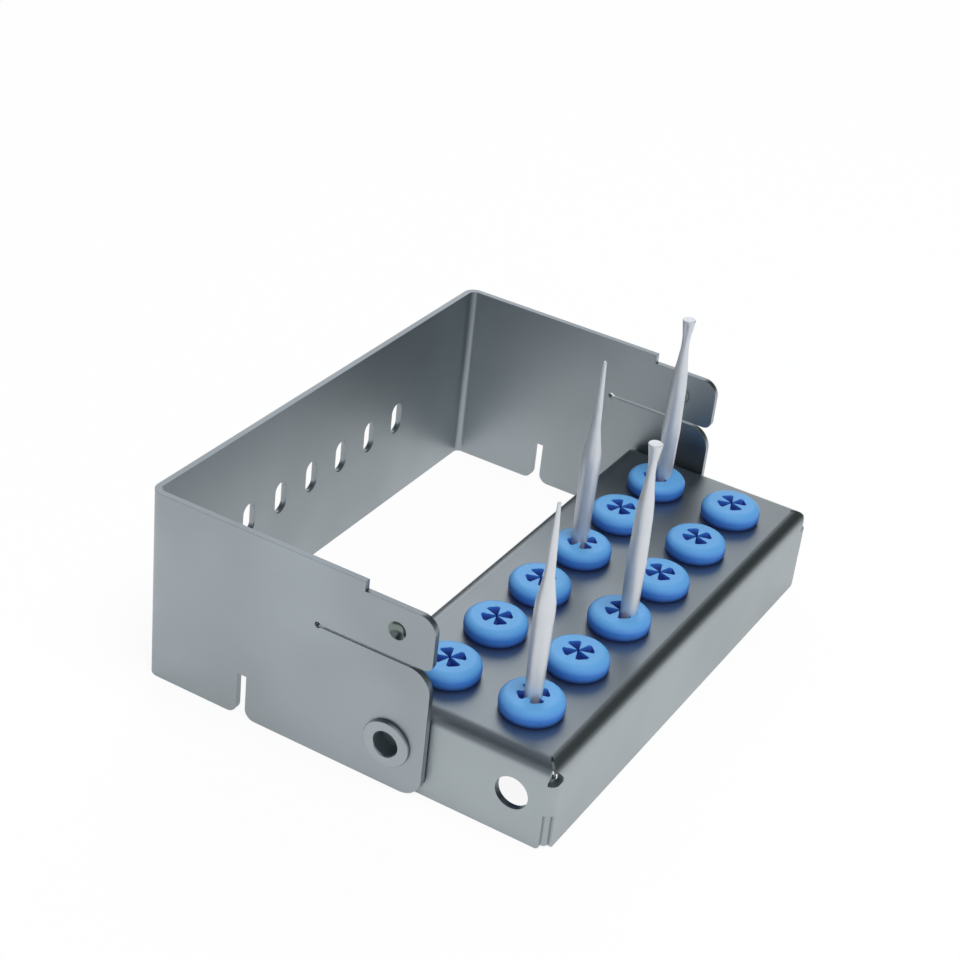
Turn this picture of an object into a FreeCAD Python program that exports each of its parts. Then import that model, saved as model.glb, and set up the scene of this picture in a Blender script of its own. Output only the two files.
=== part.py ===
"""Folding bur block: a folded steel tray with silicone bungs, burs, and a cover on two hinge rivets.

Millimetres, +Z up. The origin lies on the table, under the middle of the open block. The cover opens
towards +Y. The tray's front wall faces -Y, and the left end is at -X.
"""
import FreeCAD, Part
import math
import os

import Sketcher
from FreeCAD import Placement, Rotation, Vector

TINY = 1e-4
MARGIN = 1.0
HALF_DIAGONAL = math.sqrt(0.5) / 2

# Driving dimensions
SIZES = {
    # Folded tray
    "tray_length": 65.8,
    "tray_width": 25.95,
    "tray_height": 11.0,
    "sheet": 0.8,
    "fold_radius": 1.8,
    # Rows of seats
    "bung_pitch": 10.0,
    "bungs_in_row": 6,
    "row_shift": -0.4,
    "front_row": 7.45,
    "row_spacing": 10.45,
    "seat_diameter": 5.0,
    # Relief cuts at the tray's corners
    "corner_slit": 0.28,
    "corner_reach": 1.85,
    "side_notch": 0.9,
    "front_notch": 1.85,
    "notch_floor": 8.55,
    "notch_rise": 0.45,
    "notch_roof": 10.4,
    "side_notch_lean": 0.7,
    "front_notch_lean": 1.2,
    "corner_round": 1.0,
    "corner_tab_reach": 2.0,
    "corner_tab_top": 9.0,
    # Corner feet
    "foot_gap": 0.95,
    "foot_height": 4.6,
    "foot_inset": 0.3,
    "foot_diameter": 1.24,
    "foot_lift": 0.45,
    "foot_round": 0.5,
    # Folded cover
    "cover_depth": 52.6,
    "cover_height": 24.55,
    "cover_fold_radius": 1.6,
    "arm_gap": 0.2,
    "arm_lead": 4.6,
    "tab_length": 8.85,
    "tab_height": 23.4,
    "tab_top_round": 2.0,
    "tab_low_round": 1.0,
    "hinge_top_round": 2.8,
    "hinge_low_round": 2.6,
    "spring_slit": 0.35,
    "spring_slit_length": 14.4,
    "spring_slit_level": 16.7,
    "spring_slit_end": 0.75,
    "rim_slot": 1.2,
    "rim_slot_place": 39.15,
    "rim_slot_height": 5.65,
    "rim_slot_round": 1.3,
    # Steam vents in the back wall
    "vents": 6,
    "vent_pitch": 6.4,
    "vent_width": 2.3,
    "vent_height": 4.3,
    "vent_level": 12.3,
    # Hinge and detent
    "hinge_inset": 6.1,
    "hinge_height": 5.7,
    "hinge_clearance": 0.05,
    "rivet_diameter": 4.0,
    "rivet_seat": 0.02,
    "rivet_head_diameter": 5.8,
    "rivet_head": 0.45,
    "rivet_foot_diameter": 5.4,
    "rivet_foot": 0.5,
    "rivet_bore_diameter": 3.05,
    "rivet_bore_depth": 2.2,
    "rivet_round": 0.26,
    "detent_radius": 14.6,
    "detent_lead": 0.35,
    "detent_hole_diameter": 4.0,
    "dimple_diameter": 2.25,
    "dimple_depth": 0.6,
    "dimple_floor": 0.9,
    "dimple_round": 0.9,
    "dimple_stand": 0.15,
    # Silicone bungs
    "flange_diameter": 7.35,
    "flange_height": 2.04,
    "flange_top_round": 1.0,
    "flange_low_round": 0.75,
    "neck_clearance": 0.02,
    "lip_diameter": 6.2,
    "lip_height": 1.2,
    "lip_round": 0.4,
    "plug_diameter": 4.8,
    "plug_depth": 5.2,
    "plug_floor": 0.8,
    "free_bore_diameter": 1.6,
    "slit_depth": 1.85,
    "slit_reach": 1.75,
    "slit_mouth": 1.6,
    "slit_throat": 0.3,
    "slit_corner": 0.25,
    # Burs
    "shank_diameter": 2.0,
    "shank_clearance": 0.01,
    "tip_round": 0.12,
    "blend_radius": 8.0,
    # How far each shank stands from its bung's middle, along and across the rows
    "bur_front_1_along": 0.0,
    "bur_front_1_across": 0.0,
    "bur_front_3_along": 0.4,
    "bur_front_3_across": -0.85,
    "bur_rear_4_along": 0.3,
    "bur_rear_4_across": 0.5,
    "bur_rear_6_along": 0.5,
    "bur_rear_6_across": -0.65,
}

# Height above the bung and diameter there, from the shank up
POINTED = [(10.6, 2.33), (11.8, 2.22), (13.2, 1.75), (15.3, 1.15), (18.5, 0.9), (23.9, 0.38)]
FLARED = [(6.6, 2.3), (12.5, 2.05), (14.5, 1.8), (16.2, 1.35), (18.0, 1.0), (19.5, 0.95), (22.0, 1.68)]

# Node name: profile, row and place in the row
BURS = {
    "bur_front_1": ("pointed", "front", 1),
    "bur_front_3": ("flared", "front", 3),
    "bur_rear_4": ("pointed", "rear", 4),
    "bur_rear_6": ("flared", "rear", 6),
}


class Size:
    """A size of the sheet, or a sum of such sizes, as its number and as its expression."""

    def __init__(self, number, text):
        self.number = number
        self.text = text

    def __neg__(self):
        return Size(-self.number, f"-({self.text})")

    def __add__(self, other):
        other = size(other)
        return Size(self.number + other.number, f"({self.text} + {other.text})")

    def __sub__(self, other):
        other = size(other)
        return Size(self.number - other.number, f"({self.text} - {other.text})")

    def __mul__(self, other):
        other = size(other)
        return Size(self.number * other.number, f"({self.text} * {other.text})")

    def __truediv__(self, other):
        other = size(other)
        return Size(self.number / other.number, f"({self.text} / {other.text})")

    def __radd__(self, other):
        return size(other) + self

    def __rsub__(self, other):
        return size(other) - self

    def __rmul__(self, other):
        return size(other) * self


def size(value):
    """Turn a plain number into a Size, and leave a Size as it is."""
    return value if isinstance(value, Size) else Size(float(value), f"({float(value)})")


class Sheet:
    """The spreadsheet of driving dimensions: each cell is read as an attribute."""

    def __init__(self, doc):
        self.cells = doc.addObject("Spreadsheet::Sheet", "Sizes")
        self.row = 0
        for name, value in SIZES.items():
            self.add(name, value)
        for kind, stations in (("pointed", POINTED), ("flared", FLARED)):
            for count, (level, diameter) in enumerate(stations, 1):
                self.add(f"{kind}_level_{count}", level)
                self.add(f"{kind}_diameter_{count}", diameter)

    def add(self, name, value):
        self.row += 1
        self.cells.set(f"A{self.row}", name)
        self.cells.set(f"B{self.row}", str(value))
        self.cells.setAlias(f"B{self.row}", name)
        setattr(self, name, Size(float(value), f"Sizes.{name}"))


def bind(item, field, value):
    """Set one field of an object from a Size, as a number and as an expression."""
    item.setExpression(field, size(value).text)


def new_body(doc, name, x=0, y=0, z=0, rotation=None):
    """Start a body with its own label and its place in the block."""
    body = doc.addObject("PartDesign::Body", name)
    body.Label = name
    body.Placement = Placement(Vector(), rotation or Rotation())
    for axis, value in (("x", x), ("y", y), ("z", z)):
        bind(body, f"Placement.Base.{axis}", value)
    return body


def origin_part(body, role):
    """One of the body's own origin planes or axes."""
    return next(item for item in body.Origin.OriginFeatures if item.Role == role)


def new_sketch(body, name, plane, lift=None):
    """A sketch on one of the body's planes, moved along the plane's normal by lift."""
    sketch = body.newObject("Sketcher::SketchObject", name)
    sketch.AttachmentSupport = [(origin_part(body, plane), "")]
    sketch.MapMode = "FlatFace"
    if lift is not None:
        bind(sketch, "AttachmentOffset.Base.z", lift)
    return sketch


def pin(sketch, item, point, x, y):
    """Fix a point of a sketch at a place measured from the sketch's origin."""
    for kind, axis, value in (("DistanceX", -2, size(x)), ("DistanceY", -1, size(y))):
        if abs(value.number) < TINY:
            sketch.addConstraint(Sketcher.Constraint("PointOnObject", item, point, axis))
            continue
        row = sketch.addConstraint(Sketcher.Constraint(kind, -1, 1, item, point, value.number))
        bind(sketch, f"Constraints[{row}]", value)


def add_outline(sketch, points):
    """Add a closed outline of straight lines, with every corner fixed."""
    first = sketch.GeometryCount
    corners = [Vector(size(x).number, size(y).number, 0) for x, y in points]
    count = len(corners)
    for i in range(count):
        sketch.addGeometry(Part.LineSegment(corners[i], corners[(i + 1) % count]), False)
    for i in range(count):
        sketch.addConstraint(Sketcher.Constraint("Coincident", first + i, 2, first + (i + 1) % count, 1))
    for i, (x, y) in enumerate(points):
        pin(sketch, first + i, 1, x, y)


def add_circle(sketch, x, y, diameter):
    """Add a circle with its centre and diameter fixed."""
    centre = Vector(size(x).number, size(y).number, 0)
    item = sketch.addGeometry(Part.Circle(centre, Vector(0, 0, 1), diameter.number / 2), False)
    pin(sketch, item, 3, x, y)
    row = sketch.addConstraint(Sketcher.Constraint("Diameter", item, diameter.number))
    bind(sketch, f"Constraints[{row}]", diameter)


def add_obround(sketch, x, y, width, height):
    """Add an upright slot with round ends."""
    radius = width / 2
    top = y + height / 2 - radius
    low = y - height / 2 + radius
    x0, r = size(x).number, radius.number
    up = Part.Circle(Vector(x0, top.number, 0), Vector(0, 0, 1), r)
    down = Part.Circle(Vector(x0, low.number, 0), Vector(0, 0, 1), r)
    right = Part.LineSegment(Vector(x0 + r, low.number, 0), Vector(x0 + r, top.number, 0))
    left = Part.LineSegment(Vector(x0 - r, top.number, 0), Vector(x0 - r, low.number, 0))
    arcs = (Part.ArcOfCircle(up, 0, math.pi), Part.ArcOfCircle(down, math.pi, 2 * math.pi))
    items = [sketch.addGeometry(shape, False) for shape in (right, arcs[0], left, arcs[1])]
    for i in range(4):
        sketch.addConstraint(Sketcher.Constraint("Tangent", items[i], 2, items[(i + 1) % 4], 1))
    sketch.addConstraint(Sketcher.Constraint("Equal", items[1], items[3]))
    row = sketch.addConstraint(Sketcher.Constraint("Radius", items[1], r))
    bind(sketch, f"Constraints[{row}]", radius)
    pin(sketch, items[1], 3, x, top)
    pin(sketch, items[3], 3, x, low)


def add_corner_waste(sketch, x, y, i, j, radius):
    """Add what lies outside a rounded corner that points to the signs i and j."""
    far_x, far_y = x + MARGIN * i, y + MARGIN * j
    in_x, in_y = x - radius * i, y - radius * j
    points = [(far_x, far_y), (far_x, in_y), (x, in_y), (in_x, y), (in_x, far_y)]
    spots = [Vector(px.number, py.number, 0) for px, py in points]
    turns = {(1, 1): 0, (-1, 1): 1, (-1, -1): 2, (1, -1): 3}[i, j]
    circle = Part.Circle(Vector(in_x.number, in_y.number, 0), Vector(0, 0, 1), radius.number)
    shapes = [Part.LineSegment(spots[0], spots[1]), Part.LineSegment(spots[1], spots[2]),
              Part.ArcOfCircle(circle, turns * math.pi / 2, (turns + 1) * math.pi / 2),
              Part.LineSegment(spots[3], spots[4]), Part.LineSegment(spots[4], spots[0])]
    items = [sketch.addGeometry(shape, False) for shape in shapes]
    arc_start, arc_end = (1, 2) if i * j > 0 else (2, 1)
    joined = [(0, 2, 1, 1), (1, 2, 2, arc_start), (2, arc_end, 3, 1), (3, 2, 4, 1), (4, 2, 0, 1)]
    for first, first_end, second, second_end in joined:
        sketch.addConstraint(Sketcher.Constraint("Coincident", items[first], first_end, items[second], second_end))
    row = sketch.addConstraint(Sketcher.Constraint("Radius", items[2], radius.number))
    bind(sketch, f"Constraints[{row}]", radius)
    for item, end, (px, py) in zip((0, 1, 1, 3, 4), (1, 1, 2, 1, 1), points):
        pin(sketch, items[item], end, px, py)


def rectangle(x0, x1, y0, y1):
    """Corners of an upright rectangle."""
    return [(x0, y0), (x1, y0), (x1, y1), (x0, y1)]


def pad(body, sketch, length, reverse=False):
    """Raise a sketch into a solid."""
    feature = body.newObject("PartDesign::Pad", f"{sketch.Name}_pad")
    feature.Profile = sketch
    feature.Reversed = reverse
    bind(feature, "Length", length)
    return feature


def pocket(body, sketch, depth=None, reverse=False, both_ways=False):
    """Cut a sketch into the solid, by a depth or all the way through."""
    feature = body.newObject("PartDesign::Pocket", f"{sketch.Name}_cut")
    feature.Profile = sketch
    feature.Reversed = reverse
    if both_ways:
        feature.SideType = "Symmetric"
    if depth is None:
        feature.Type = "ThroughAll"
    else:
        bind(feature, "Length", depth)
    return feature


def revolve(body, sketch):
    """Turn a sketch about the upright axis."""
    feature = body.newObject("PartDesign::Revolution", f"{sketch.Name}_turned")
    feature.Profile = sketch
    feature.ReferenceAxis = (sketch, ["V_Axis"])
    feature.Angle = 360
    return feature


def line_up(body, feature, role, pitch, count):
    """Repeat a feature along an axis."""
    pattern = body.newObject("PartDesign::LinearPattern", f"{feature.Name}_row")
    pattern.Originals = [feature]
    pattern.Direction = (origin_part(body, role), [""])
    pattern.Mode = "Spacing"
    bind(pattern, "Offset", pitch)
    bind(pattern, "Occurrences", count)
    body.Tip = pattern
    return pattern


def mirror(body, features, role):
    """Repeat features on the other side of one of the body's planes."""
    copy = body.newObject("PartDesign::Mirrored", f"{features[0].Name}_mirrored")
    copy.Originals = features
    copy.MirrorPlane = (origin_part(body, role), [""])
    body.Tip = copy
    return copy


def round_edges(body, radius, wanted):
    """Round the edges of the body so far that pass a test."""
    body.Document.recompute()
    base = body.Tip
    names = [f"Edge{i}" for i, edge in enumerate(base.Shape.Edges, 1) if wanted(edge)]
    if not names:
        raise RuntimeError(f"{body.Label}: no edge to round after {base.Name}")
    feature = body.newObject("PartDesign::Fillet", f"{base.Name}_round")
    feature.Base = (base, names)
    bind(feature, "Radius", radius)
    return feature


def near(value, target):
    return abs(value - size(target).number) < TINY


def runs_along(edge, axis):
    """Whether an edge is straight and lies along one axis."""
    if edge.Curve.TypeId != "Part::GeomLine":
        return False
    return abs(abs(getattr(edge.Curve.Direction, axis)) - 1) < TINY


def edge_at(axis, **place):
    """A test for straight edges along an axis that lie at the given places, on either side of zero."""
    def test(edge):
        middle = edge.CenterOfMass
        return runs_along(edge, axis) and all(near(abs(getattr(middle, key)), place[key]) for key in place)
    return test


def circle_at(level, diameter):
    """A test for round edges about the upright axis at a level, of one diameter."""
    def test(edge):
        if edge.Curve.TypeId != "Part::GeomCircle":
            return False
        return near(edge.CenterOfMass.z, level) and near(edge.Curve.Radius, diameter / 2)
    return test


def front_face(s):
    """The place of the tray's front face, measured from the block's middle."""
    return -s.cover_depth / 2


def seat_place(s, row, place):
    """The middle of a seat, from the block's middle and from the tray's front face."""
    x = (place - (s.bungs_in_row + 1) / 2) * s.bung_pitch + s.row_shift
    y = s.front_row if row == "front" else s.front_row + s.row_spacing
    return x, y


def hinge_place(s):
    """From the tray's front face to the hinge."""
    return s.tray_width - s.hinge_inset


def tray_corners(s):
    """Signs and half sizes for the tray's four corners."""
    return [(i, j, s.tray_length / 2, s.tray_width / 2) for i in (-1, 1) for j in (-1, 1)]


def corner_outlines(s, sketch, points):
    """Add one outline at each corner, given by distances in from the two outer faces."""
    for i, j, half_length, half_width in tray_corners(s):
        add_outline(sketch, [((half_length - a) * i, (half_width - b) * j) for a, b in points])


def fold_tray(body, s):
    """The open box of sheet, with rounded folds round its plate."""
    half_length = s.tray_length / 2
    half_width = s.tray_width / 2
    block = new_sketch(body, "tray_plan", "XY_Plane")
    add_outline(block, rectangle(-half_length, half_length, -half_width, half_width))
    pad(body, block, s.tray_height)
    round_edges(body, s.fold_radius, lambda edge: near(edge.BoundBox.ZMin, s.tray_height))
    hollow = new_sketch(body, "tray_hollow", "XY_Plane")
    inner_length = half_length - s.sheet
    inner_width = half_width - s.sheet
    add_outline(hollow, rectangle(-inner_length, inner_length, -inner_width, inner_width))
    under_plate = s.tray_height - s.sheet
    pocket(body, hollow, under_plate, reverse=True)
    round_edges(body, s.fold_radius - s.sheet, lambda edge: near(edge.BoundBox.ZMin, under_plate)
                and near(edge.BoundBox.ZMax, under_plate) and edge.Curve.TypeId == "Part::GeomLine"
                and abs(edge.CenterOfMass.y) < half_width.number - s.sheet.number + TINY
                and (near(abs(edge.CenterOfMass.x), inner_length) or near(abs(edge.CenterOfMass.y), inner_width)))


def cut_seats(body, s):
    """Two rows of round seats through the plate."""
    for row in ("front", "rear"):
        x, y = seat_place(s, row, 1)
        sketch = new_sketch(body, f"seat_{row}", "XY_Plane", s.tray_height)
        add_circle(sketch, x, y - s.tray_width / 2, s.seat_diameter)
        seat = pocket(body, sketch, s.sheet * 2)
        line_up(body, seat, "X_Axis", s.bung_pitch, s.bungs_in_row)


def cut_end_holes(body, s):
    """Rivet holes and detent holes, through both end walls."""
    hinge = s.tray_width / 2 - s.hinge_inset
    sketch = new_sketch(body, "end_holes", "YZ_Plane")
    add_circle(sketch, hinge, s.hinge_height, s.rivet_diameter + 2 * s.rivet_seat)
    add_circle(sketch, hinge - s.detent_radius - s.detent_lead, s.hinge_height, s.detent_hole_diameter)
    pocket(body, sketch, both_ways=True)


def cut_corner_relief(body, s):
    """The slit down each corner's folds and the notch below it in both walls."""
    half_length = s.tray_length / 2
    half_width = s.tray_width / 2
    slit = new_sketch(body, "corner_slit_plan", "XY_Plane", s.tray_height)
    spread = s.corner_slit * HALF_DIAGONAL
    reach = s.corner_reach
    corner_outlines(s, slit, [(reach + spread, reach - spread), (reach - spread, reach + spread),
                              (-spread - MARGIN, spread - MARGIN), (spread - MARGIN, -spread - MARGIN)])
    pocket(body, slit, s.tray_height - s.notch_floor)
    sides = new_sketch(body, "side_notches", "YZ_Plane", half_length)
    for j in (-1, 1):
        add_outline(sides, notch_outline(half_width, j, s.side_notch, s.side_notch_lean, s))
    mirror(body, [pocket(body, sides, s.sheet)], "YZ_Plane")
    fronts = new_sketch(body, "front_notches", "XZ_Plane", half_width)
    for i in (-1, 1):
        add_outline(fronts, notch_outline(half_length, i, s.front_notch, s.front_notch_lean, s))
    mirror(body, [pocket(body, fronts, s.sheet)], "XZ_Plane")


def notch_outline(half, sign, width, lean, s):
    """A notch at a wall's end that rises straight and then narrows towards the fold."""
    outside = (half + MARGIN) * sign
    wide = (half - width) * sign
    narrow = (half - width + lean) * sign
    return [(outside, s.notch_floor), (wide, s.notch_floor), (wide, s.notch_floor + s.notch_rise),
            (narrow, s.notch_roof), (outside, s.notch_roof)]


def form_feet(body, s):
    """The upright corners are rounded, and below them a small round foot stands back between the walls."""
    gaps = new_sketch(body, "foot_gaps", "XY_Plane")
    corner_outlines(s, gaps, rectangle(size(-MARGIN), s.foot_gap, size(-MARGIN), s.foot_gap))
    pocket(body, gaps, s.foot_height, reverse=True)
    corners = new_sketch(body, "corner_rounds", "XY_Plane")
    for i, j, half_length, half_width in tray_corners(s):
        add_corner_waste(corners, half_length * i, half_width * j, i, j, s.corner_round)
    pocket(body, corners, s.notch_floor, reverse=True)
    side = edge_at("x", y=s.tray_width / 2 - s.foot_gap, z=0)
    front = edge_at("y", x=s.tray_length / 2 - s.foot_gap, z=0)
    round_edges(body, s.foot_round, lambda edge: side(edge) or front(edge))
    feet = new_sketch(body, "feet", "XY_Plane", s.foot_lift)
    back = s.foot_inset + s.foot_diameter / 2
    for i, j, half_length, half_width in tray_corners(s):
        add_circle(feet, (half_length - back) * i, (half_width - back) * j, s.foot_diameter)
    pad(body, feet, s.foot_height - s.foot_lift + s.foot_inset)


def form_tabs(body, s):
    """Inside each corner, the short tab bent behind the end wall."""
    tabs = new_sketch(body, "corner_tabs", "XY_Plane", s.foot_lift)
    corner_outlines(s, tabs, rectangle(s.sheet, s.sheet * 2, s.sheet, s.sheet + s.corner_tab_reach))
    pad(body, tabs, s.corner_tab_top - s.foot_lift)


def build_tray(doc, s):
    """The tray, in its own frame: the middle of its underside is the origin."""
    body = new_body(doc, "base_tray", y=front_face(s) + s.tray_width / 2)
    fold_tray(body, s)
    cut_seats(body, s)
    cut_end_holes(body, s)
    cut_corner_relief(body, s)
    form_feet(body, s)
    form_tabs(body, s)
    return body


def arm_inside(s):
    """From the block's middle plane to an arm's inner face."""
    return s.tray_length / 2 + s.arm_gap


def arm_front(s):
    """From the tray's front face to the arms' front edges."""
    return hinge_place(s) - s.arm_lead


def fold_cover(body, s):
    """The upright strip of sheet, folded into a back wall and two arms."""
    inner = arm_inside(s)
    outer = inner + s.sheet
    front = arm_front(s)
    back = s.cover_depth
    plan = new_sketch(body, "cover_plan", "XY_Plane")
    add_outline(plan, [(-outer, front), (-inner, front), (-inner, back - s.sheet), (inner, back - s.sheet),
                       (inner, front), (outer, front), (outer, back), (-outer, back)])
    pad(body, plan, s.cover_height)
    round_edges(body, s.cover_fold_radius, edge_at("z", x=outer, y=back))
    round_edges(body, s.cover_fold_radius - s.sheet, edge_at("z", x=inner, y=back - s.sheet))


def cut_arms(body, s):
    """The arms' outline: the lower spring tab, the slit below it, the rim slot and the rivet hole."""
    front = arm_front(s)
    tab_back = front + s.tab_length
    slit_low = s.spring_slit_level - s.spring_slit / 2
    slit_top = s.spring_slit_level + s.spring_slit / 2
    slit_back = front + s.spring_slit_length
    slot_front = s.rim_slot_place - s.rim_slot / 2
    slot_back = s.rim_slot_place + s.rim_slot / 2
    cuts = new_sketch(body, "arm_cuts", "YZ_Plane")
    add_outline(cuts, rectangle(front - MARGIN, tab_back, s.tab_height, s.cover_height + MARGIN))
    add_outline(cuts, rectangle(front - MARGIN, slit_back, slit_low, slit_top))
    add_outline(cuts, rectangle(slot_front, slot_back, size(-MARGIN), s.rim_slot_height))
    pocket(body, cuts, both_ways=True)
    holes = new_sketch(body, "arm_holes", "YZ_Plane")
    add_circle(holes, slit_back, s.spring_slit_level, s.spring_slit_end)
    add_circle(holes, hinge_place(s), s.hinge_height, s.rivet_diameter + 2 * s.hinge_clearance)
    pocket(body, holes, both_ways=True)
    round_edges(body, s.tab_top_round, edge_at("x", y=front, z=s.tab_height))
    round_edges(body, s.tab_low_round, edge_at("x", y=front, z=slit_top))
    round_edges(body, s.hinge_top_round, edge_at("x", y=front, z=slit_low))
    round_edges(body, s.hinge_low_round, edge_at("x", y=front, z=0))
    lips = [edge_at("x", y=place, z=0) for place in (slot_front, slot_back)]
    round_edges(body, s.rim_slot_round, lambda edge: any(test(edge) for test in lips))


def cut_vents(body, s):
    """A row of upright steam vents through the back wall."""
    sketch = new_sketch(body, "vent", "XZ_Plane", s.sheet * 2 - s.cover_depth)
    first = (1 - s.vents) * s.vent_pitch / 2
    add_obround(sketch, first, s.vent_level, s.vent_width, s.vent_height)
    line_up(body, pocket(body, sketch, s.sheet * 3), "X_Axis", s.vent_pitch, s.vents)


def press_dimples(body, s):
    """On each spring tab, the pressed hollow outside and its low button inside."""
    level = s.hinge_height + s.detent_radius
    inner = arm_inside(s)
    button = new_sketch(body, "dimple_button", "YZ_Plane", inner)
    add_circle(button, hinge_place(s), level, s.dimple_diameter - s.sheet)
    raised = pad(body, button, s.dimple_stand, reverse=True)
    hollow = new_sketch(body, "dimple_hollow", "XZ_Plane", -hinge_place(s))
    outer = inner + s.sheet
    bottom = outer - s.dimple_depth
    radius = s.dimple_diameter / 2
    add_outline(hollow, [(bottom, level), (outer + MARGIN, level), (outer + MARGIN, level + radius),
                         (outer, level + radius), (bottom, level + s.dimple_floor / 2)])
    turned = body.newObject("PartDesign::Groove", "dimple_hollow_turned")
    turned.Profile = hollow
    turned.ReferenceAxis = (hollow, ["Edge1"])
    turned.Angle = 360
    mirror(body, [raised, turned], "YZ_Plane")
    round_edges(body, s.dimple_round, lambda edge: edge.Curve.TypeId == "Part::GeomCircle"
                and near(abs(edge.CenterOfMass.x), bottom) and near(edge.Curve.Radius, s.dimple_floor / 2))


def build_cover(doc, s):
    """The cover, lying open, measured in Y from the tray's front face."""
    body = new_body(doc, "cover", y=front_face(s))
    fold_cover(body, s)
    cut_arms(body, s)
    cut_vents(body, s)
    press_dimples(body, s)
    return body


def build_rivet(doc, s, name, side):
    """A hollow rivet, turned about its axis. Its origin is on the end wall's inner face."""
    body = new_body(doc, name, x=(s.tray_length / 2 - s.sheet) * side, y=front_face(s) + hinge_place(s),
                    z=s.hinge_height, rotation=Rotation(Vector(0, 1, 0), 90 * side))
    head_low = s.sheet * 2 + s.arm_gap + s.hinge_clearance
    head_top = head_low + s.rivet_head
    shank = s.rivet_diameter / 2
    head = s.rivet_head_diameter / 2
    foot = s.rivet_foot_diameter / 2
    bore = s.rivet_bore_diameter / 2
    bore_floor = head_top - s.rivet_bore_depth
    profile = new_sketch(body, f"{name}_profile", "XZ_Plane")
    add_outline(profile, [(0, -s.rivet_foot), (foot, -s.rivet_foot), (foot, 0), (shank, 0), (shank, head_low),
                          (head, head_low), (head, head_top), (bore, head_top), (bore, bore_floor),
                          (0, bore_floor)])
    revolve(body, profile)
    head_rim = circle_at(head_top, s.rivet_head_diameter)
    bore_rim = circle_at(head_top, s.rivet_bore_diameter)
    foot_rim = circle_at(-s.rivet_foot, s.rivet_foot_diameter)
    round_edges(body, s.rivet_round, lambda edge: head_rim(edge) or bore_rim(edge) or foot_rim(edge))
    return body


def turn_bung(body, s):
    """The bung's outer form: flange on the plate, neck in the seat, lip under the plate and plug."""
    flange = s.flange_diameter / 2
    neck = s.seat_diameter / 2 - s.neck_clearance
    lip = s.lip_diameter / 2
    plug = s.plug_diameter / 2
    lip_top = -s.sheet
    lip_low = lip_top - s.lip_height
    end = lip_top - s.plug_depth
    profile = new_sketch(body, "bung_profile", "XZ_Plane")
    add_outline(profile, [(0, end), (plug, end), (plug, lip_low), (lip, lip_low), (lip, lip_top), (neck, lip_top),
                          (neck, 0), (flange, 0), (flange, s.flange_height), (0, s.flange_height)])
    revolve(body, profile)
    round_edges(body, s.flange_top_round, circle_at(s.flange_height, s.flange_diameter))
    round_edges(body, s.flange_low_round, circle_at(0, s.flange_diameter))
    lip_rim = circle_at(lip_low, s.lip_diameter)
    end_rim = circle_at(end, s.plug_diameter)
    round_edges(body, s.lip_round, lambda edge: lip_rim(edge) or end_rim(edge))


def slit_bung(body, s):
    """Four slits in the top that widen outwards, on the diagonals, and meet in the middle."""
    sketch = new_sketch(body, "bung_slit", "XY_Plane", s.flange_height)
    sketch.AttachmentOffset = Placement(Vector(), Rotation(Vector(0, 0, 1), 45))
    bind(sketch, "AttachmentOffset.Base.z", s.flange_height)
    mouth = s.slit_mouth / 2
    throat = s.slit_throat / 2
    shoulder = s.slit_reach - s.slit_corner
    flat = mouth - s.slit_corner
    add_outline(sketch, [(0, -throat), (throat, -throat), (shoulder, -mouth), (s.slit_reach, -flat),
                         (s.slit_reach, flat), (shoulder, mouth), (throat, throat), (0, throat)])
    cut = pocket(body, sketch, s.slit_depth)
    pattern = body.newObject("PartDesign::PolarPattern", "bung_slits")
    pattern.Originals = [cut]
    pattern.Axis = (origin_part(body, "Z_Axis"), [""])
    pattern.Angle = 360
    pattern.Occurrences = 4
    body.Tip = pattern


def build_bung(doc, s, row, place, bur):
    """A bung in its seat, bored for a shank: its origin is on the plate."""
    x, y = seat_place(s, row, place)
    body = new_body(doc, f"bung_{row}_{place}", x=x, y=front_face(s) + y, z=s.tray_height)
    turn_bung(body, s)
    slit_bung(body, s)
    floor = s.plug_floor - s.sheet - s.plug_depth
    bore = new_sketch(body, "bung_bore", "XY_Plane", floor)
    if bur:
        along, across = shank_shift(s, bur)
        add_circle(bore, along, across, s.shank_diameter + 2 * s.shank_clearance)
        pocket(body, bore, s.flange_height - floor + MARGIN, reverse=True)
    else:
        add_circle(bore, 0, 0, s.free_bore_diameter)
        pocket(body, bore, s.flange_height - s.slit_depth - floor + s.slit_throat, reverse=True)
    return body


def shank_shift(s, bur):
    """How far a bur's shank stands from the middle of its bung."""
    return getattr(s, f"{bur}_along"), getattr(s, f"{bur}_across")


def build_bur(doc, s, name, kind, row, place):
    """A turned bur with a flowing outline. Its origin is where the shank leaves the bung."""
    along, across = shank_shift(s, name)
    x, y = seat_place(s, row, place)
    body = new_body(doc, name, x=x + along, y=front_face(s) + y + across, z=s.tray_height + s.flange_height)
    count = len(POINTED if kind == "pointed" else FLARED)
    stations = [(getattr(s, f"{kind}_diameter_{i}"), getattr(s, f"{kind}_level_{i}")) for i in range(1, count + 1)]
    shank = s.shank_diameter / 2
    end = s.plug_floor - s.sheet - s.plug_depth - s.flange_height
    tip_diameter, tip_level = stations[-1]
    profile = new_sketch(body, "bur_profile", "XZ_Plane")
    add_outline(profile, [(0, end), (shank, end), (shank, 0)]
                + [(diameter / 2, level) for diameter, level in stations] + [(0, tip_level)])
    revolve(body, profile)
    round_edges(body, s.tip_round, circle_at(tip_level, tip_diameter))
    bends = [circle_at(level, diameter) for diameter, level in stations[:-1]]
    round_edges(body, s.blend_radius, lambda edge: any(test(edge) for test in bends))
    return body


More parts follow.
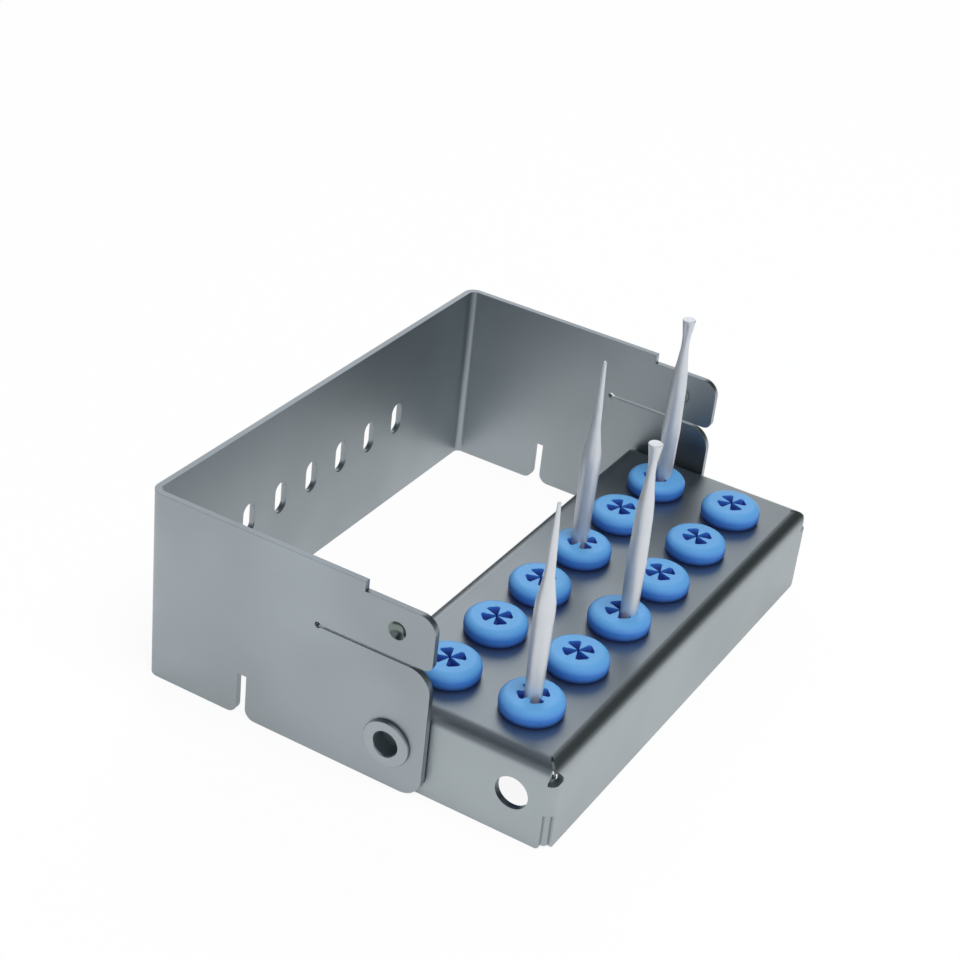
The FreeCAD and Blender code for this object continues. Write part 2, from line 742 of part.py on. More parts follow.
def check(doc):
    """Stop if a feature failed, a cut removed nothing or a solid is not sound."""
    for item in doc.Objects:
        if "Invalid" in item.State or "Error" in item.State:
            raise RuntimeError(f"{item.Name} ({item.Label}) failed: {item.State}")
        base = getattr(item, "BaseFeature", None)
        if base is None or not item.TypeId.startswith("PartDesign::"):
            continue
        if base.TypeId != "PartDesign::Body" and near(item.Shape.Volume, base.Shape.Volume):
            raise RuntimeError(f"{item.Name} ({item.Label}) changes nothing")
    for body in doc.findObjects("PartDesign::Body"):
        shape = body.Shape
        if shape.isNull() or not shape.isValid() or len(shape.Solids) != 1:
            raise RuntimeError(f"{body.Label} is not one sound solid: {len(shape.Solids)}, {shape.isValid()}")


def main():
    doc = FreeCAD.newDocument("bur_block")
    s = Sheet(doc)
    doc.recompute()
    build_tray(doc, s)
    build_cover(doc, s)
    build_rivet(doc, s, "rivet_left", -1)
    build_rivet(doc, s, "rivet_right", 1)
    held = {(row, place): name for name, (kind, row, place) in BURS.items()}
    for row in ("front", "rear"):
        for place in range(1, int(s.bungs_in_row.number) + 1):
            build_bung(doc, s, row, place, held.get((row, place)))
    for name, (kind, row, place) in BURS.items():
        build_bur(doc, s, name, kind, row, place)
    doc.recompute()
    check(doc)
    os.makedirs("parts", exist_ok=True)
    for body in doc.findObjects("PartDesign::Body"):
        body.Shape.exportStep(f"parts/{body.Label}.step")
        print(f"{body.Label}: {body.Shape.Volume:.1f} mm3")


main()
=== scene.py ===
"""Looks of a folding bur block: satin sheet steel, silicone bungs, satin burs and a plain studio.

Metres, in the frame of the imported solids: the tray's front faces -Y and the cover opens towards +Y.
"""

import math

import bmesh
import bpy
from bpy.props import FloatProperty, FloatVectorProperty, PointerProperty
from mathutils import Matrix, Vector


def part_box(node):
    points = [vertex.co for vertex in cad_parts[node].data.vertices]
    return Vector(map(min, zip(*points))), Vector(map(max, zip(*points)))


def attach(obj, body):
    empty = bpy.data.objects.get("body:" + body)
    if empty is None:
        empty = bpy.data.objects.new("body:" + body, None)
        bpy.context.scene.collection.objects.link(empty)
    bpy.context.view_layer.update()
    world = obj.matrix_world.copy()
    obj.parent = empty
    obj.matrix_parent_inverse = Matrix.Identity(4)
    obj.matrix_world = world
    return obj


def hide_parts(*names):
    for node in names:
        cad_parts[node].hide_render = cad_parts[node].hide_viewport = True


bl_info = {
    "name": "Folding bur block",
    "version": (1, 0, 0),
    "blender": (4, 5, 0),
    "location": "3D View > Sidebar > Bur block",
    "description": "Finishes the bur block's solids and sets them in a plain studio",
    "category": "Object",
}

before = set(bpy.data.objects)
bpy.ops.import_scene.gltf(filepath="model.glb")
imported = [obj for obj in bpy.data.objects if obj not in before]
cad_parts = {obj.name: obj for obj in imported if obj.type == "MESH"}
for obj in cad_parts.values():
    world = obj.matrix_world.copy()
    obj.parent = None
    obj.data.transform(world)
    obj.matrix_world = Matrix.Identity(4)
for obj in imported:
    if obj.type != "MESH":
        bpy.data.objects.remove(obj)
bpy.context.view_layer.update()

MM = 0.001

# Points closer than WELD are one, faces within FLAT of each other are one, and folds past SHARP are rounded
WELD = 1e-7
FLAT = math.radians(0.5)
SHARP = math.radians(28)

# Points this close to a level are on it, and faces this close to a sheet's own faces belong to them
TOUCH = 0.01 * MM
SKIN = 0.03 * MM

# Thickness of the cover's sheet
SHEET = 0.8 * MM

# Round hollows along X: the middle's Y and Z, and a radius that holds every face of the hollow
DIMPLE = (-6.45 * MM, 20.3 * MM, 1.2 * MM)
BORE = (-6.45 * MM, 5.7 * MM, 1.6 * MM)

# The dimple's button: how far its faces reach inside the sheet, the share of the dimple's radius that holds
# its points, and how much it is widened
BUTTON_REACH = 0.3 * MM
BUTTON_HOLD = 0.7
BUTTON_GROWTH = 1.5

# Depths under the rivet's head between which the bore's faces lie
BORE_MOUTH = 0.2 * MM
BORE_END = 2.3 * MM

# A bung's slits: the radius that holds them, their depth below its top, and their height above its underside
SLIT_REACH = 2.3 * MM
SLIT_MOUTH = 0.12 * MM
SLIT_END = 0.4 * MM

# Grain of each finish, in cycles to the metre along X, Y and Z
TRAY_GRAIN = (40, 4200, 4200)
COVER_GRAIN = (40, 40, 4200)
SMOOTH_GRAIN = (300, 300, 300)
RING_GRAIN = (300, 300, 9000)

# Clouds and moulded skin, in cycles to the metre, and the noise from which steel is plain or clouded
STEEL_CLOUDS = 48.0
SILICONE_CLOUDS = 420.0
SILICONE_SKIN = 5200.0
BUR_CLOUDS = 380.0
CLOUD_EDGES = (0.35, 0.65)

# Heights over the plate, in millimetres, between which a bung's colour fades into the next: painted light and
# shade, dark at the foot, deeper blue on the side, paler at the top and darker deep in the slits
FOOT_SHADE_FADE = (-0.8, -0.1)
SIDE_SHADE_FADE = (0.1, 0.8)
TOP_LIGHT_FADE = (0.8, 2.0)
SLIT_SHADE_FADE = (1.3, 2.1)

# How far red, green and blue light go under the silicone's skin, as shares of its light depth
LIGHT_SHARES = (0.25, 0.5, 1.0)

FLOOR_RADIUS = 3.0
LAMP_DISTANCE = 0.8
LAMP_TARGET = Vector((0, 0, 0.01))

# The sine of the height from which the studio is all ceiling
CEILING_START = 0.55

# Patches of the surroundings: bearing, height, the angles from the patch's middle at which it is still full
# and at which it ends, and its colour. Each lies over those before it.
STUDIO = [
    (238, 48, 24, 60, (0.13, 0.16, 0.22)),      # dim blue corner, back left
    (66, 26, 28, 46, (0.035, 0.045, 0.042)),    # dark side, front right
    (-62, 48, 20, 50, (0.55, 0.56, 0.58)),      # pale wall over the camera
    (231, 51, 9, 29, (0.012, 0.025, 0.035)),    # darkest part of the corner
    (122, 25, 14, 28, (1.0, 1.02, 1.05)),       # window, back right
    (126, 30, 5, 15, (1.5, 1.5, 1.55)),         # bright middle of the window
]


def length(name, description, default):
    """A setting in metres, given in millimetres."""
    return FloatProperty(name=name, description=description, default=default * MM, min=0, precision=5,
                         unit="LENGTH")


def share(name, description, default):
    """A setting from 0 to 1."""
    return FloatProperty(name=name, description=description, default=default, min=0, max=1, subtype="FACTOR")


def colour(name, description, default):
    """A colour setting."""
    return FloatVectorProperty(name=name, description=description, default=default, min=0, max=1,
                               subtype="COLOR")


class BurBlockSteel(bpy.types.PropertyGroup):
    """Finish of the folded sheets and the rivets."""
    tray_colour: colour("Tray colour", "Satin steel of the tray", (0.41, 0.455, 0.473))
    cover_colour: colour("Cover colour", "Satin steel of the cover, a little darker", (0.382, 0.425, 0.449))
    rivet_colour: colour("Rivet colour", "Turned steel of the rivets", (0.39, 0.43, 0.455))
    # Painted reflection: the dimples are coloured darker than the sheet, for the dark surroundings mirrored
    # in their hollows; the pressing itself shows only in their roughness
    dimple_shade_colour: colour("Dimple colour", "Steel pressed smooth in the dimples", (0.21, 0.255, 0.24))
    # Painted shade: the bores are coloured darker than the rivets, for the shade inside them; being left as
    # drilled shows only in their roughness
    bore_shade_colour: colour("Bore colour", "Duller steel in the rivets' bores", (0.27, 0.315, 0.34))
    metal: share("Metal", "How much of the surface is bare metal", 0.99)
    clouding: share("Clouding", "How much darker the sheet's broad clouds are", 0.12)
    roughness: share("Roughness", "How far the satin finish spreads reflections", 0.4)
    rivet_roughness: share("Rivet roughness", "Rivets are turned and a little smoother", 0.28)
    dimple_roughness: share("Dimple roughness", "The dimples are pressed smooth", 0.2)
    bore_roughness: share("Bore roughness", "The bores are left as drilled", 0.65)
    unevenness: share("Unevenness", "How far the grain changes the roughness", 0.03)
    grain_bump: share("Grain bump", "How much of the grain's depth shows", 0.06)
    grain_depth: length("Grain depth", "Depth of the grain", 0.02)
    edge_round: length("Edge round", "Rounding of the sheet's deburred edges", 0.09)
    rivet_round: length("Rivet edge round", "Rounding of the rivets' sharp edges", 0.06)


class BurBlockBungs(bpy.types.PropertyGroup):
    """Finish of the silicone bungs."""
    # Painted light: the top colour is paler than the side, as if lit from above
    colour: colour("Colour", "Blue silicone", (0.115, 0.35, 0.655))
    # Painted shade: the flange's side is a deeper blue, where it is less lit
    shaded_side_colour: colour("Side colour", "Deeper blue on the flange's side", (0.064, 0.26, 0.82))
    # Painted shade: dark blue at the foot, where the flange meets the plate
    foot_shade_colour: colour("Low colour", "Dark blue where the flange meets the plate", (0.035, 0.10, 0.40))
    # Painted shade: the slits' insides are a darker blue
    slit_shade_colour: colour("Slit colour", "Darker blue inside the slits", (0.055, 0.10, 0.45))
    seat_level: length("Seat level", "Height of the plate that the bungs sit on", 11.0)
    clouding: share("Clouding", "How much of the side's blue clouds the skin", 0.12)
    roughness: share("Roughness", "Matt moulded skin", 0.42)
    unevenness: share("Unevenness", "How far the moulded skin changes the roughness", 0.05)
    skin_bump: share("Skin bump", "How much of the skin's depth shows", 0.08)
    skin_depth: length("Skin depth", "Depth of the moulded skin", 0.02)
    light_share: share("Light share", "Light that goes under the skin", 0.06)
    light_depth: length("Light depth", "How far light goes under the skin", 0.5)
    lip_round: length("Lip round", "Rounding of the slits' lips and other sharp edges", 0.2)
    foot_reach: length("Foot reach", "Radius beyond which the flange's foot is drawn out", 2.85)
    foot_height: length("Foot height", "Height of the flange's low rounding", 0.8)
    foot_swell: share("Foot swell", "How far the foot is drawn out to the flange's side", 0.7)


class BurBlockBurs(bpy.types.PropertyGroup):
    """Finish of the burs."""
    colour: colour("Colour", "Turned satin steel", (0.74, 0.77, 0.805))
    shade: share("Shade", "How bright the darker clouds are beside the colour", 0.9)
    metal: share("Metal", "How much of the surface is bare metal", 0.5)
    roughness: share("Roughness", "Ground matt and worn smooth", 0.38)
    unevenness: share("Unevenness", "How far the rings change the roughness", 0.04)
    ring_bump: share("Ring bump", "How much of the rings' depth shows", 0.05)
    ring_depth: length("Ring depth", "Depth of the rings from grinding", 0.01)
    tip_round: length("Tip round", "Rounding of the end faces' edges", 0.05)


class BurBlockStage(bpy.types.PropertyGroup):
    """Camera, floor and light."""
    azimuth: FloatProperty(name="Azimuth", description="Camera's bearing round the block, 0 from the front",
                           default=math.radians(-62.18), subtype="ANGLE")
    elevation: FloatProperty(name="Elevation", description="Camera's height above the horizon",
                             default=math.radians(30.67), subtype="ANGLE")
    roll: FloatProperty(name="Roll", description="Camera's turn about its line of sight",
                        default=math.radians(6.45), subtype="ANGLE")
    target: FloatVectorProperty(name="Target", description="The point that the camera looks at",
                                default=(-1.87 * MM, 2.8 * MM, 20.11 * MM), precision=5,
                                subtype="TRANSLATION", unit="LENGTH")
    distance: length("Distance", "From the camera to the point it looks at", 239.8)
    lens: FloatProperty(name="Lens", description="Focal length in millimetres", default=76.66, min=1)
    floor_colour: colour("Floor colour", "Plain pale floor", (0.9, 0.9, 0.9))
    floor_seen: share("Floor seen", "White in the floor where the camera sees it", 0.92)
    floor_mirrored: share("Floor mirrored", "White in the floor where the steel mirrors it", 0.45)
    walls: colour("Walls", "Studio near the floor", (0.5, 0.5, 0.5))
    ceiling: colour("Ceiling", "Studio overhead", (0.2, 0.205, 0.215))
    key_power: FloatProperty(name="Key lamp", description="Power in watts", default=5.0, min=0)
    fill_power: FloatProperty(name="Fill lamp", description="Power in watts", default=1.2, min=0)


class Shader:
    """A material's or world's node tree, built node by node."""

    def __init__(self, owner):
        owner.use_nodes = True
        self.owner = owner
        self.tree = owner.node_tree
        self.tree.nodes.clear()

    def add(self, kind, inputs=None, **fields):
        """Add a node, set its fields, and set or link its inputs."""
        node = self.tree.nodes.new(kind)
        for field, value in fields.items():
            setattr(node, field, value)
        for key, value in (inputs or {}).items():
            if isinstance(value, bpy.types.NodeSocket):
                self.tree.links.new(value, node.inputs[key])
            else:
                node.inputs[key].default_value = value
        return node

    def place(self, scale=(1, 1, 1)):
        """Object coordinates, stretched by scale."""
        coordinates = self.add("ShaderNodeTexCoord")
        mapping = self.add("ShaderNodeMapping", {"Vector": coordinates.outputs["Object"], "Scale": scale})
        return mapping.outputs["Vector"]

    def noise(self, place, scale, detail=2.0):
        """Noise from 0 to 1 at a place."""
        inputs = {"Vector": place, "Scale": scale, "Detail": detail}
        return self.add("ShaderNodeTexNoise", inputs).outputs["Fac"]

    def between(self, value, low, high):
        """Map a value from 0 to 1 to a range."""
        inputs = {"Value": value, "To Min": low, "To Max": high}
        return self.add("ShaderNodeMapRange", inputs).outputs["Result"]

    def around(self, value, middle, reach):
        """Map a value from 0 to 1 to a range that reaches as far to both sides of its middle."""
        return self.between(value, middle - reach, middle + reach)

    def spread(self, value, low, high):
        """Stretch the middle of a value's range to 0 to 1, with soft ends."""
        inputs = {"Value": value, "From Min": low, "From Max": high}
        return self.add("ShaderNodeMapRange", inputs, interpolation_type="SMOOTHSTEP").outputs["Result"]

    def blend(self, factor, first, second):
        """Mix two colours."""
        return self.add("ShaderNodeMix", {0: factor, 6: first, 7: second}, data_type="RGBA").outputs[2]

    def calculate(self, operation, first, second):
        """Work out one number from two."""
        return self.add("ShaderNodeMath", {0: first, 1: second}, operation=operation).outputs[0]

    def bump(self, height, strength, depth):
        """A bumped normal."""
        inputs = {"Height": height, "Strength": strength, "Distance": depth}
        return self.add("ShaderNodeBump", inputs).outputs["Normal"]

    def finish(self, shader):
        """Join a shader to the output."""
        is_world = isinstance(self.owner, bpy.types.World)
        self.add("ShaderNodeOutputWorld" if is_world else "ShaderNodeOutputMaterial", {"Surface": shader})
        return self.owner


def opaque(rgb):
    """A colour with full alpha."""
    return (*rgb, 1.0)


def steel_material(name, grain, rgb, roughness):
    """Satin steel: fine grain drawn along the sheet, and broad faint clouds."""
    steel = bpy.context.scene.bur_block_steel
    shader = Shader(bpy.data.materials.new(name))
    lines = shader.noise(shader.place(grain), 1.0, 3.0)
    clouds = shader.noise(shader.place(), STEEL_CLOUDS)
    darker = [part * (1 - steel.clouding) for part in rgb]
    surface = shader.add("ShaderNodeBsdfPrincipled", {
        "Base Color": shader.blend(shader.spread(clouds, *CLOUD_EDGES), opaque(rgb), opaque(darker)),
        "Metallic": steel.metal,
        "Roughness": shader.around(lines, roughness, steel.unevenness),
        "Normal": shader.bump(lines, steel.grain_bump, steel.grain_depth),
    })
    return shader.finish(surface.outputs["BSDF"])


def silicone_material(name, foot, steps):
    """Matt blue silicone with a faint moulded skin.

    Its colour changes with the height over the plate, as painted light and shade: foot is the lowest colour,
    and each step is a pair of heights between which the colour below fades into the step's own.
    """
    bungs = bpy.context.scene.bur_block_bungs
    shader = Shader(bpy.data.materials.new(name))
    skin = shader.noise(shader.place(), SILICONE_SKIN)
    clouds = shader.noise(shader.place(), SILICONE_CLOUDS)
    height = shader.add("ShaderNodeSeparateXYZ", {"Vector": shader.place()}).outputs["Z"]
    painted_shade_colour = opaque(foot)
    # Each step paints light and shade by height over the plate
    for fade, rgb in steps:
        above = shader.spread(height, *(bungs.seat_level + level * MM for level in fade))
        painted_shade_colour = shader.blend(above, painted_shade_colour, opaque(rgb))
    clouded = shader.between(clouds, 0.0, bungs.clouding)
    surface = shader.add("ShaderNodeBsdfPrincipled", {
        "Base Color": shader.blend(clouded, painted_shade_colour, opaque(bungs.shaded_side_colour)),
        "Roughness": shader.around(skin, bungs.roughness, bungs.unevenness),
        "Subsurface Weight": bungs.light_share,
        "Subsurface Radius": LIGHT_SHARES,
        "Subsurface Scale": bungs.light_depth,
        "Normal": shader.bump(skin, bungs.skin_bump, bungs.skin_depth),
    })
    return shader.finish(surface.outputs["BSDF"])


def bur_material(name):
    """Turned satin steel with fine rings from grinding."""
    burs = bpy.context.scene.bur_block_burs
    shader = Shader(bpy.data.materials.new(name))
    clouds = shader.noise(shader.place(), BUR_CLOUDS, 3.0)
    rings = shader.noise(shader.place(RING_GRAIN), 1.0)
    darker = [part * burs.shade for part in burs.colour]
    surface = shader.add("ShaderNodeBsdfPrincipled", {
        "Base Color": shader.blend(clouds, opaque(burs.colour), opaque(darker)),
        "Metallic": burs.metal,
        "Roughness": shader.around(rings, burs.roughness, burs.unevenness),
        "Normal": shader.bump(rings, burs.ring_bump, burs.ring_depth),
    })
    return shader.finish(surface.outputs["BSDF"])


def softened(node, rounding):
    """A closed copy of a node's solid, with its sharp edges rounded."""
    mesh = bmesh.new()
    mesh.from_mesh(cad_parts[node].data)
    bmesh.ops.remove_doubles(mesh, verts=mesh.verts, dist=WELD)
    bmesh.ops.dissolve_limit(mesh, angle_limit=FLAT, verts=mesh.verts, edges=mesh.edges,
                             use_dissolve_boundaries=False)
    sharp = [edge for edge in mesh.edges if edge.is_manifold and edge.calc_face_angle() > SHARP]
    bmesh.ops.bevel(mesh, geom=sharp, offset=rounding, offset_type="OFFSET", affect="EDGES", segments=2,
                    profile=0.5, material=-1, clamp_overlap=True)
    for face in mesh.faces:
        face.material_index = 0
    return mesh


def add_piece(name, mesh, materials, body, node):
    """Show a finished mesh in place of a node, moving with that node's body."""
    data = bpy.data.meshes.new(name)
    mesh.to_mesh(data)
    mesh.free()
    for material in materials:
        data.materials.append(material)
    data.shade_smooth()
    piece = bpy.data.objects.new(name, data)
    bpy.context.scene.collection.objects.link(piece)
    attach(piece, body)
    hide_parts(node)
    return piece


def even_shading(piece):
    """Shade flat faces flat and rounded edges round."""
    modifier = piece.modifiers.new("even_shading", "WEIGHTED_NORMAL")
    modifier.weight = 100
    modifier.keep_sharp = True


def nodes_named(start):
    """Names of the nodes that start so, in order."""
    return sorted(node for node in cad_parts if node.startswith(start))


def mark_hollow(mesh, hollow, low, high):
    """Give a round hollow's faces the second material, darker as painted shade, between two distances from
    the block's middle.
    """
    middle_y, middle_z, radius = hollow
    for face in mesh.faces:
        place = face.calc_center_median()
        across = math.hypot(place.y - middle_y, place.z - middle_z)
        if across < radius and low < abs(place.x) < high:
            face.material_index = 1


def widen_button(mesh, inside):
    """Widen the low button inside each dimple to the hollow's own width."""
    middle_y, middle_z, radius = DIMPLE
    for vertex in mesh.verts:
        away = Vector((vertex.co.y - middle_y, vertex.co.z - middle_z))
        if abs(vertex.co.x) < inside + TOUCH and away.length < radius * BUTTON_HOLD:
            vertex.co.y = middle_y + away.x * BUTTON_GROWTH
            vertex.co.z = middle_z + away.y * BUTTON_GROWTH


def middle_of(mesh):
    """The X and Y of a round piece's axis."""
    places = [vertex.co for vertex in mesh.verts]
    return tuple((min(place[i] for place in places) + max(place[i] for place in places)) / 2 for i in (0, 1))


def draw_out_foot(mesh):
    """Narrow the flange's low rounding, so that its side runs down to the plate."""
    bungs = bpy.context.scene.bur_block_bungs
    middle_x, middle_y = middle_of(mesh)
    low, high = bungs.seat_level - TOUCH, bungs.seat_level + bungs.foot_height
    radius = max(vertex.co.x for vertex in mesh.verts) - middle_x
    for vertex in mesh.verts:
        away = Vector((vertex.co.x - middle_x, vertex.co.y - middle_y))
        if low < vertex.co.z < high and bungs.foot_reach < away.length < radius:
            reach = away.length + (radius - away.length) * bungs.foot_swell
            away *= reach / away.length
            vertex.co.x, vertex.co.y = middle_x + away.x, middle_y + away.y


def mark_slits(mesh):
    """Give the faces inside a bung's slits and bore the second material, which paints them darker as shade.
    """
    top = max(vertex.co.z for vertex in mesh.verts)
    low = min(vertex.co.z for vertex in mesh.verts)
    middle_x, middle_y = middle_of(mesh)
    for face in mesh.faces:
        place = face.calc_center_median()
        across = math.hypot(place.x - middle_x, place.y - middle_y)
        if across < SLIT_REACH and low + SLIT_END < place.z < top - SLIT_MOUTH:
            face.material_index = 1


class BURBLOCK_OT_tray(bpy.types.Operator):
    """Finish the folded tray"""
    bl_idname = "burblock.tray"
    bl_label = "Tray"

    def execute(self, context):
        steel = context.scene.bur_block_steel
        material = steel_material("tray_satin_steel", TRAY_GRAIN, steel.tray_colour, steel.roughness)
        mesh = softened("base_tray", steel.edge_round)
        even_shading(add_piece("tray_sheet", mesh, [material], "base", "base_tray"))
        return {"FINISHED"}


class BURBLOCK_OT_cover(bpy.types.Operator):
    """Finish the folded cover"""
    bl_idname = "burblock.cover"
    bl_label = "Cover"

    def execute(self, context):
        steel = context.scene.bur_block_steel
        materials = [
            steel_material("cover_satin_steel", COVER_GRAIN, steel.cover_colour, steel.roughness),
            # The dimples' steel is darker, a painted reflection in the hollow
            steel_material("dimple_painted_shade_steel", SMOOTH_GRAIN, steel.dimple_shade_colour, steel.dimple_roughness),
        ]
        mesh = softened("cover", steel.edge_round)
        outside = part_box("cover")[1][0]
        inside = outside - SHEET
        widen_button(mesh, inside)
        # The dimple and the button inside it get the darker second material, a painted reflection
        mark_hollow(mesh, DIMPLE, inside + SKIN, outside - SKIN)
        mark_hollow(mesh, DIMPLE, inside - BUTTON_REACH, inside - SKIN)
        even_shading(add_piece("cover_sheet", mesh, materials, "cover", "cover"))
        return {"FINISHED"}


class BURBLOCK_OT_rivets(bpy.types.Operator):
    """Finish the two hinge rivets"""
    bl_idname = "burblock.rivets"
    bl_label = "Rivets"

    def execute(self, context):
        steel = context.scene.bur_block_steel
        materials = [
            steel_material("rivet_turned_steel", SMOOTH_GRAIN, steel.rivet_colour, steel.rivet_roughness),
            # The bores' steel is darker, painted shade
            steel_material("rivet_bore_painted_shade", SMOOTH_GRAIN, steel.bore_shade_colour, steel.bore_roughness),
        ]
        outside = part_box("rivet_right")[1][0]
        for side in ("left", "right"):
            node = f"rivet_{side}"
            mesh = softened(node, steel.rivet_round)
            # The bore's faces get the darker second material, painted shade
            mark_hollow(mesh, BORE, outside - BORE_END, outside - BORE_MOUTH)
            even_shading(add_piece(f"turned_rivet_{side}", mesh, materials, "base", node))
        return {"FINISHED"}


class BURBLOCK_OT_bungs(bpy.types.Operator):
    """Finish the twelve silicone bungs"""
    bl_idname = "burblock.bungs"
    bl_label = "Bungs"

    def execute(self, context):
        bungs = context.scene.bur_block_bungs
        # Painted light and shade by height: dark foot, deeper blue side, paler top
        skin = [(FOOT_SHADE_FADE, bungs.foot_shade_colour), (SIDE_SHADE_FADE, bungs.shaded_side_colour), (TOP_LIGHT_FADE, bungs.colour)]
        # Painted shade in the slits: darker deep down, fading to the side's blue near the top
        slits = [(SLIT_SHADE_FADE, bungs.shaded_side_colour)]
        materials = [silicone_material("blue_silicone_shaded_skin", bungs.colour, skin),
                     silicone_material("blue_silicone_shaded_slits", bungs.slit_shade_colour, slits)]
        for node in nodes_named("bung_"):
            mesh = softened(node, bungs.lip_round)
            draw_out_foot(mesh)
            mark_slits(mesh)
            even_shading(add_piece(f"soft_{node}", mesh, materials, "base", node))
        return {"FINISHED"}


class BURBLOCK_OT_burs(bpy.types.Operator):
    """Finish the four burs"""
    bl_idname = "burblock.burs"
    bl_label = "Burs"

    def execute(self, context):
        material = bur_material("bur_satin_steel")
        for node in nodes_named("bur_"):
            mesh = softened(node, context.scene.bur_block_burs.tip_round)
            add_piece(f"turned_{node}", mesh, [material], "base", node)
        return {"FINISHED"}


def bearing(azimuth, elevation):
    """Unit vector from the block towards a bearing; azimuth 0 is the front."""
    flat = math.cos(elevation)
    return Vector((math.sin(azimuth) * flat, -math.cos(azimuth) * flat, math.sin(elevation)))


def facing(place, target, roll=0.0):
    """The matrix of a camera or lamp at a place that faces a target."""
    turn = (target - place).to_track_quat("-Z", "Y").to_matrix() @ Matrix.Rotation(roll, 3, "Z")
    return Matrix.Translation(place) @ turn.to_4x4()


def link(name, data, matrix):
    """Put a camera or lamp in the scene."""
    item = bpy.data.objects.new(name, data)
    item.matrix_world = matrix
    bpy.context.scene.collection.objects.link(item)
    return item


def add_camera(stage):
    """The photographer's view."""
    target = Vector(stage.target)
    place = target + bearing(stage.azimuth, stage.elevation) * stage.distance
    data = bpy.data.cameras.new("camera")
    data.lens = stage.lens
    data.clip_start = 0.01
    bpy.context.scene.camera = link("camera", data, facing(place, target, stage.roll))


def bright_seen_directly(shader, plain, direct, mirrored):
    """Mix white light into a shader: one share where the camera sees it, one where it is reflected."""
    path = shader.add("ShaderNodeLightPath").outputs
    either = shader.calculate("MAXIMUM", path["Is Glossy Ray"], path["Is Transmission Ray"])
    seen = shader.calculate("MULTIPLY", path["Is Camera Ray"], direct)
    glossy = shader.calculate("MULTIPLY", either, mirrored)
    factor = shader.calculate("MAXIMUM", seen, glossy)
    white = shader.add("ShaderNodeEmission", {"Color": (1, 1, 1, 1), "Strength": 1.0}).outputs[0]
    return shader.add("ShaderNodeMixShader", {0: factor, 1: plain, 2: white}).outputs[0]


def add_floor(stage):
    """A wide pale disc that keeps the block's shadow."""
    mesh = bmesh.new()
    bmesh.ops.create_circle(mesh, cap_ends=True, segments=96, radius=FLOOR_RADIUS)
    data = bpy.data.meshes.new("floor")
    mesh.to_mesh(data)
    mesh.free()
    shader = Shader(bpy.data.materials.new("pale_floor"))
    plain = shader.add("ShaderNodeBsdfDiffuse", {"Color": opaque(stage.floor_colour)})
    lit = bright_seen_directly(shader, plain.outputs[0], stage.floor_seen, stage.floor_mirrored)
    data.materials.append(shader.finish(lit))
    floor = bpy.data.objects.new("floor", data)
    bpy.context.scene.collection.objects.link(floor)


def add_lamp(name, azimuth, elevation, side, power):
    """A square soft box that faces the block and isn't mirrored in it."""
    data = bpy.data.lights.new(name, "AREA")
    data.size = side
    data.energy = power
    place = bearing(math.radians(azimuth), math.radians(elevation)) * LAMP_DISTANCE
    lamp = link(name, data, facing(place, LAMP_TARGET))
    lamp.visible_glossy = False


def add_patch(shader, direction, behind, azimuth, elevation, inner, outer, rgb):
    """Blend a soft round patch of one colour into the surroundings."""
    middle = bearing(math.radians(azimuth), math.radians(elevation))
    close = shader.add("ShaderNodeVectorMath", {0: direction, 1: middle}, operation="DOT_PRODUCT")
    edge, full = math.cos(math.radians(outer)), math.cos(math.radians(inner))
    return shader.blend(shader.spread(close.outputs["Value"], edge, full), behind, opaque(rgb))


def studio_world(stage):
    """Plain surroundings, darker overhead, with soft patches; white where the camera looks."""
    shader = Shader(bpy.data.worlds.new("studio"))
    direction = shader.add("ShaderNodeTexCoord").outputs["Generated"]
    height = shader.add("ShaderNodeSeparateXYZ", {"Vector": direction}).outputs["Z"]
    overhead = shader.spread(height, 0.0, CEILING_START)
    tone = shader.blend(overhead, opaque(stage.walls), opaque(stage.ceiling))
    for patch in STUDIO:
        tone = add_patch(shader, direction, tone, *patch)
    plain = shader.add("ShaderNodeBackground", {"Color": tone, "Strength": 1.0}).outputs[0]
    direct = shader.add("ShaderNodeLightPath").outputs["Is Camera Ray"]
    white = shader.add("ShaderNodeBackground", {"Color": (1, 1, 1, 1), "Strength": 1.0}).outputs[0]
    return shader.finish(shader.add("ShaderNodeMixShader", {0: direct, 1: plain, 2: white}).outputs[0])


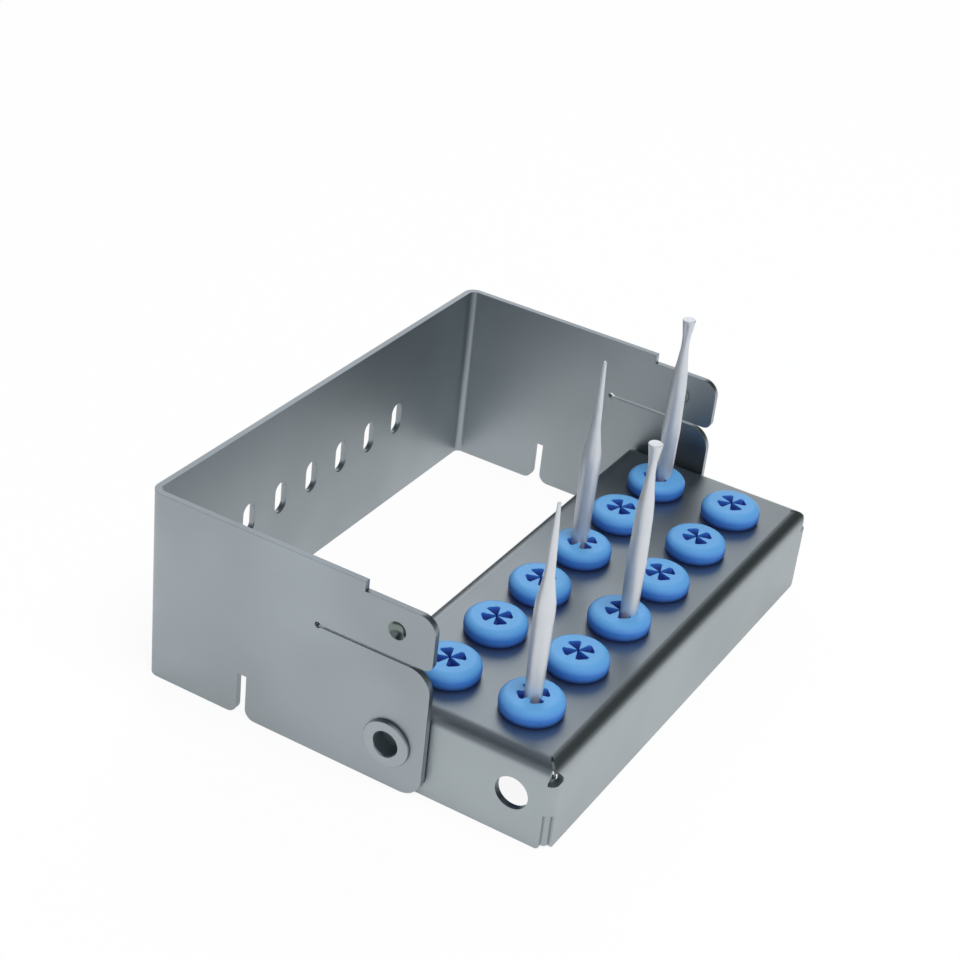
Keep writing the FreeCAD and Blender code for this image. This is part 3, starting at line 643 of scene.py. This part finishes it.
class BURBLOCK_OT_stage(bpy.types.Operator):
    """Set the camera, the floor and the light"""
    bl_idname = "burblock.stage"
    bl_label = "Stage"

    def execute(self, context):
        stage = context.scene.bur_block_stage
        context.scene.view_settings.view_transform = "Standard"
        add_camera(stage)
        add_floor(stage)
        context.scene.world = studio_world(stage)
        add_lamp("key_lamp", azimuth=-20, elevation=72, side=0.5, power=stage.key_power)
        add_lamp("fill_lamp", azimuth=125, elevation=38, side=0.4, power=stage.fill_power)
        return {"FINISHED"}


class BURBLOCK_PT_panel(bpy.types.Panel):
    """Settings and steps of the bur block"""
    bl_label = "Bur block"
    bl_idname = "BURBLOCK_PT_panel"
    bl_space_type = "VIEW_3D"
    bl_region_type = "UI"
    bl_category = "Bur block"

    def draw(self, context):
        for name, group in GROUPS.items():
            box = self.layout.box()
            for key in group.__annotations__:
                box.prop(getattr(context.scene, name), key)
        for operator in OPERATORS:
            self.layout.operator(operator.bl_idname)


GROUPS = {
    "bur_block_steel": BurBlockSteel,
    "bur_block_bungs": BurBlockBungs,
    "bur_block_burs": BurBlockBurs,
    "bur_block_stage": BurBlockStage,
}
OPERATORS = (BURBLOCK_OT_tray, BURBLOCK_OT_cover, BURBLOCK_OT_rivets, BURBLOCK_OT_bungs, BURBLOCK_OT_burs,
             BURBLOCK_OT_stage)


def register():
    for name, group in GROUPS.items():
        bpy.utils.register_class(group)
        setattr(bpy.types.Scene, name, PointerProperty(type=group))
    for item in (*OPERATORS, BURBLOCK_PT_panel):
        bpy.utils.register_class(item)


def unregister():
    for item in (BURBLOCK_PT_panel, *reversed(OPERATORS)):
        bpy.utils.unregister_class(item)
    for name, group in GROUPS.items():
        delattr(bpy.types.Scene, name)
        bpy.utils.unregister_class(group)


def main():
    """Register the add-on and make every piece."""
    register()
    bpy.ops.burblock.tray()
    bpy.ops.burblock.cover()
    bpy.ops.burblock.rivets()
    bpy.ops.burblock.bungs()
    bpy.ops.burblock.burs()
    bpy.ops.burblock.stage()


if __name__ == "__main__":
    main()
